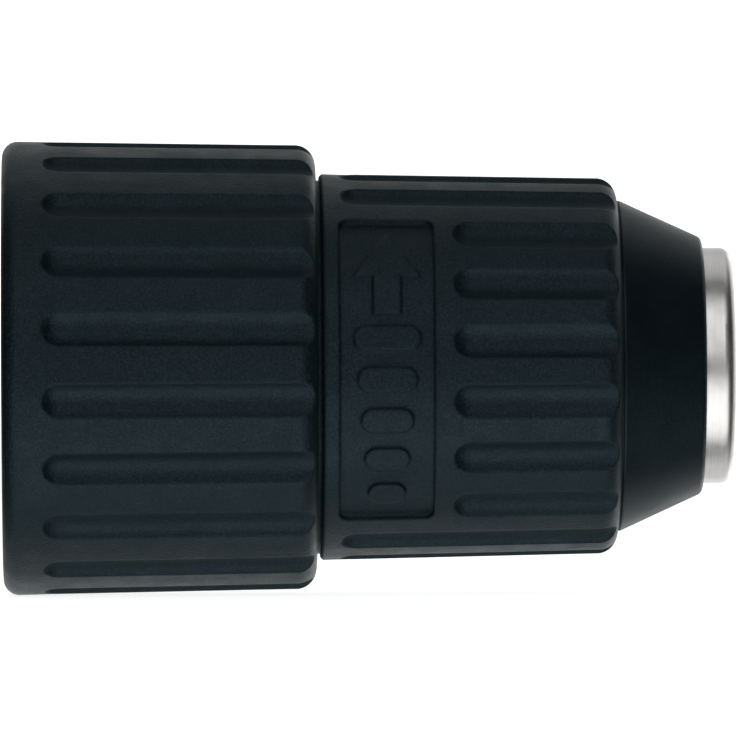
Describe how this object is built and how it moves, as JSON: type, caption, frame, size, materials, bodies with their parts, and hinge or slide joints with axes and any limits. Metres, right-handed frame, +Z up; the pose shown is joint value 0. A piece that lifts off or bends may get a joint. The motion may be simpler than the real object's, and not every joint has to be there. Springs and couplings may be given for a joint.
{
  "type": "keyless drill chuck",
  "caption": "Keyless drill chuck with two ribbed plastic sleeves, a smooth nose cone and a steel nose; turning the front sleeve moves inclined jaws in and out.",
  "frame": {"origin": "centre of the spindle thread's mouth, in the rear face", "axes": "+X along the chuck's axis towards the nose, +Z up; the recessed panels face -Y and +Y"},
  "size_m": [0.069, 0.043, 0.043],
  "materials": {
    "body_steel": "turned and ground steel, satin",
    "jaw_steel": "hardened and ground",
    "nut_steel": "hardened, dark",
    "bearing_steel": "polished",
    "cage_brass": "pressed sheet",
    "grip_plastic": "fine spark-eroded texture",
    "cone_plastic": "smooth satin",
    "spring_steel": "black oxide",
    "seal_felt": "felt"
  },
  "bodies": {
    "chuck": {"chuck_body": "body_steel", "rear_sleeve": "grip_plastic", "rear_circlip": "spring_steel", "ratchet_ring": "nut_steel", "thrust_race_rear": "bearing_steel", "nose_retaining_ring": "spring_steel"},
    "front_grip": {"front_sleeve": "grip_plastic", "nose_sleeve": "cone_plastic", "nut_half_a": "nut_steel", "nut_half_b": "nut_steel", "nut_shell": "nut_steel", "thrust_race_front": "bearing_steel", "nose_seal": "seal_felt", "pawl_pin": "bearing_steel", "pawl_spring": "spring_steel"},
    "bearing": {"ball_cage": "cage_brass", "bearing_balls": "bearing_steel"},
    "jaw_a": {"jaw_1": "jaw_steel"},
    "jaw_b": {"jaw_2": "jaw_steel"},
    "jaw_c": {"jaw_3": "jaw_steel"},
    "pawl": {"lock_pawl": "nut_steel"}
  },
  "joints": [
    {"name": "sleeve_turn", "type": "hinge", "parent": "chuck", "child": "front_grip", "pos_m": [0.0345, 0, 0], "axis": [-1, 0, 0], "range_deg": [0, 5440]},
    {"name": "bearing_turn", "type": "hinge", "parent": "chuck", "child": "bearing", "pos_m": [0.0526, 0, 0], "axis": [-1, 0, 0], "range_deg": [0, 2720]},
    {"name": "jaw_1_slide", "type": "slide", "parent": "chuck", "child": "jaw_a", "axis": [0.9703, 0, -0.2419], "range_m": [0, 0.0242]},
    {"name": "jaw_2_slide", "type": "slide", "parent": "chuck", "child": "jaw_b", "axis": [0.9703, 0.2095, 0.121], "range_m": [0, 0.0242]},
    {"name": "jaw_3_slide", "type": "slide", "parent": "chuck", "child": "jaw_c", "axis": [0.9703, -0.2095, 0.121], "range_m": [0, 0.0242]},
    {"name": "pawl_swing", "type": "hinge", "parent": "front_grip", "child": "pawl", "pos_m": [0.0265, 0, 0.01539], "axis": [1, 0, 0], "range_deg": [0, 3.4], "stiffness_Nm_per_rad": 0.02}
  ],
  "couplings": [
    {"joint": "bearing_turn", "follows": "sleeve_turn", "ratio": 0.5},
    {"joint": "jaw_1_slide", "follows": "sleeve_turn", "m_per_rad": 0.00025465},
    {"joint": "jaw_2_slide", "follows": "sleeve_turn", "m_per_rad": 0.00025465},
    {"joint": "jaw_3_slide", "follows": "sleeve_turn", "m_per_rad": 0.00025465}
  ]
}
